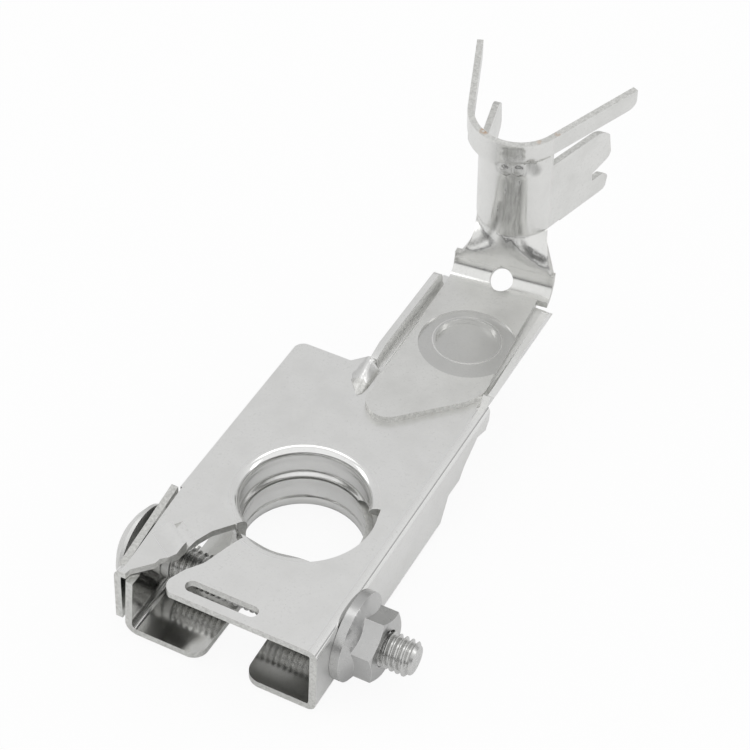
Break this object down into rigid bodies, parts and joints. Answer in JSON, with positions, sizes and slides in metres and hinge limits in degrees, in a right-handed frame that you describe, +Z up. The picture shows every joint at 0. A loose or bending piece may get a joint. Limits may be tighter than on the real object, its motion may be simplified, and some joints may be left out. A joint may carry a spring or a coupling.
{
  "type": "battery terminal clamp",
  "caption": "Folded sheet clamp for a round battery post, with a press-joined open crimp lug, carriage bolt and flange nut.",
  "frame": {"origin": "axis of the post bore at the underside of the bottom plate", "axes": "+Y from the bolt end to the cable end, +X towards the nut, +Z up along the post bore"},
  "size_m": [0.0511, 0.109, 0.049],
  "materials": {
    "tinned_sheet": "tin-plated copper alloy sheet",
    "tinned_lug": "tin-plated copper alloy sheet with bare copper at some cut edges",
    "plated_bolt": "zinc-plated steel",
    "plated_nut": "zinc-plated steel"
  },
  "bodies": {
    "clamp": {"clamp_body": "tinned_sheet", "cable_lug": "tinned_lug"},
    "bolt": {"clamp_bolt": "plated_bolt"},
    "nut": {"flange_nut": "plated_nut"}
  },
  "joints": [
    {"name": "nut_spin", "type": "hinge", "parent": "clamp", "child": "nut", "pos_m": [0.01693, -0.0162, 0.00645], "axis": [1, 0, 0], "range_deg": [0, 1440]},
    {"name": "bolt_slide", "type": "slide", "parent": "clamp", "child": "bolt", "axis": [-1, 0, 0], "range_m": [0, 0.004]}
  ],
  "couplings": [
    {"joint": "bolt_slide", "follows": "nut_spin", "m_per_rad": 0.00015915}
  ]
}
